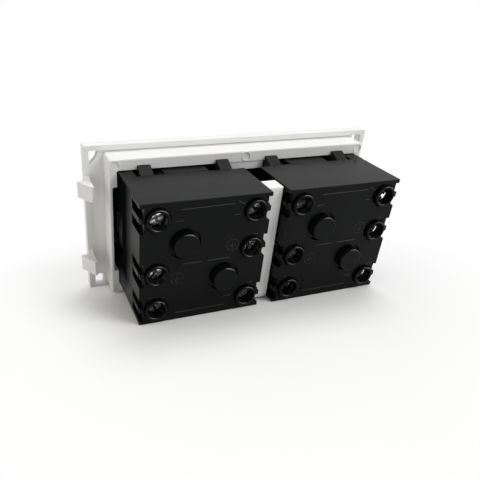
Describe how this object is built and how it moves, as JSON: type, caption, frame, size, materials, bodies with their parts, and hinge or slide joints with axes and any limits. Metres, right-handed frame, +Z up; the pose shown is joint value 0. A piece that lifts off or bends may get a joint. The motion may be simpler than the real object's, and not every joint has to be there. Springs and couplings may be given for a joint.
{
  "type": "earthed socket outlet",
  "caption": "White snap-in frame with round earthed plug wells in front and black terminal boxes behind, with screw terminals and side wire entries.",
  "frame": {"origin": "middle of the flange in the plane of its rear rim", "axes": "+Z up, +Y from the plug side to the terminal side, +X to the right seen from the plug side"},
  "size_m": [0.1112, 0.0399, 0.0532],
  "materials": {
    "white_plastic": "satin moulded",
    "black_plastic": "fine satin",
    "brass": "stamped",
    "earth_brass": "nickelled",
    "dark_steel": "phosphated",
    "zinc_steel": "zinc plated"
  },
  "bodies": {
    "root": {"mounting_frame": "white_plastic", "separator_bar": "white_plastic", "front_plate_left": "white_plastic", "well_body_left": "black_plastic", "terminal_box_left": "black_plastic", "line_contact_left": "brass", "neutral_contact_left": "brass", "earth_strap_left": "earth_brass", "terminal_screws_left": "zinc_steel", "clamp_plates_left": "dark_steel", "box_screw_left": "zinc_steel", "front_plate_right": "white_plastic", "well_body_right": "black_plastic", "terminal_box_right": "black_plastic", "line_contact_right": "brass", "neutral_contact_right": "brass", "earth_strap_right": "earth_brass", "terminal_screws_right": "zinc_steel", "clamp_plates_right": "dark_steel", "box_screw_right": "zinc_steel"}
  },
  "joints": []
}
